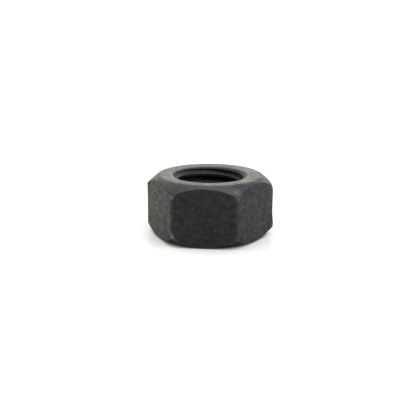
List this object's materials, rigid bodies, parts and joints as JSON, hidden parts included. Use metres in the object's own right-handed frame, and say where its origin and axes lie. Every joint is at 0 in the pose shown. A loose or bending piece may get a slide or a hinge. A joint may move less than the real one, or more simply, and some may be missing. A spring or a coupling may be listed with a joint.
{
  "type": "hex nut",
  "caption": "Large metric hexagon nut with chamfered corners, a countersunk coarse right-hand thread and a matte black finish.",
  "frame": {"origin": "on the thread's axis, at the centre of the lower bearing face, on which the nut stands", "axes": "+Z along the thread's axis, from the lower bearing face to the upper one; +Y square to one of the six flats; +X towards a corner"},
  "size_m": [0.0528, 0.046, 0.0252],
  "materials": {
    "black_steel": "matte black phosphate or oxide coating on forged and turned steel"
  },
  "bodies": {
    "root": {"hex_nut": "black_steel"}
  },
  "joints": []
}
